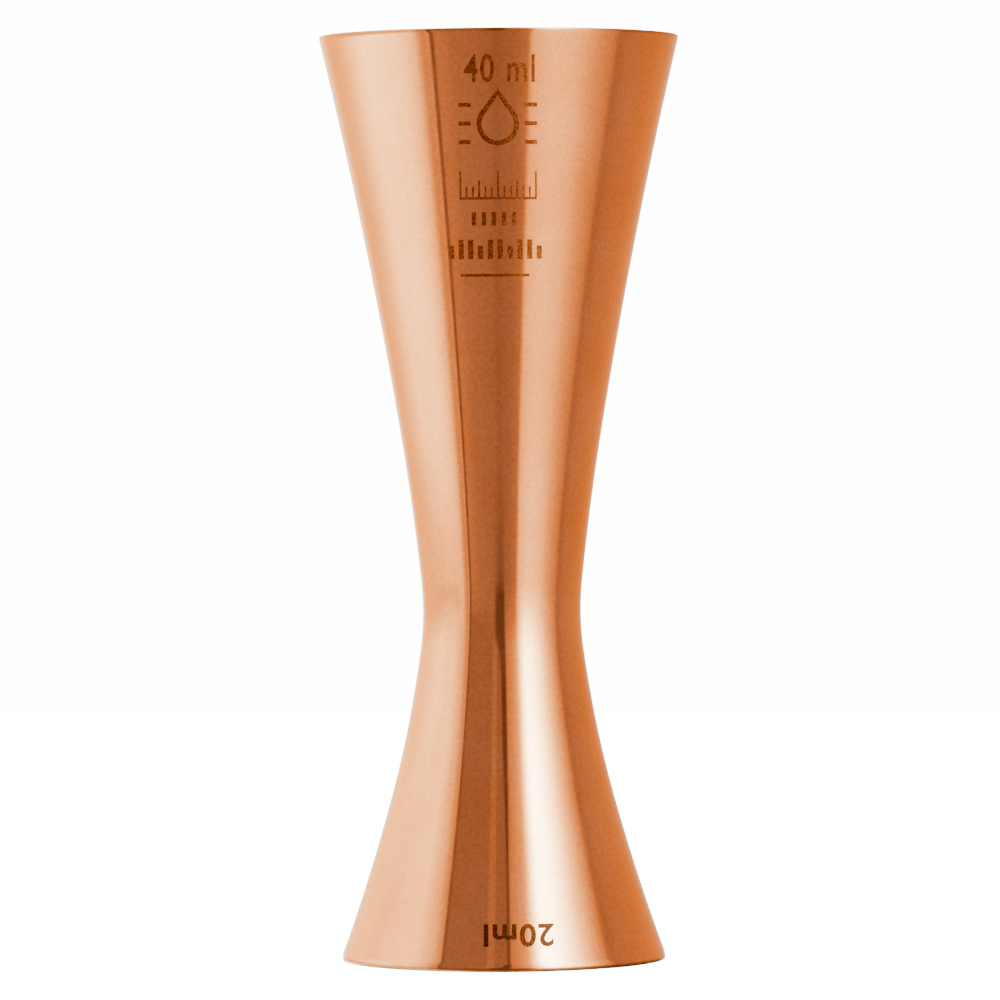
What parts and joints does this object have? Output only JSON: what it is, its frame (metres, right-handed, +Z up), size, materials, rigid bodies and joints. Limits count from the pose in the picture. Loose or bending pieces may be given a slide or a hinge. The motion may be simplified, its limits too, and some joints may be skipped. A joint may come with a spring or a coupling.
{
  "type": "bar jigger",
  "caption": "Slim double-ended spirit measure: a tall flared cup and a shorter flared cup welded base to base at a narrow waist, polished copper finish.",
  "frame": {"origin": "centre of the small cup's rim, in the plane that the jigger stands on with its large cup up", "axes": "+Z up the axis of revolution, from the small cup's rim to the large cup's rim; X and Y are any two directions across it, and the capacity marks face -Y"},
  "size_m": [0.0416, 0.0416, 0.1072],
  "materials": {
    "polished_copper": "copper-plated stainless steel, mirror-polished outside and spun satin inside, with laser-etched capacity marks",
    "weld_copper": "stainless weld bead, dressed flush, polished and copper-plated with the cups"
  },
  "bodies": {
    "root": {"large_cup": "polished_copper", "small_cup": "polished_copper", "waist_weld": "weld_copper"}
  },
  "joints": []
}
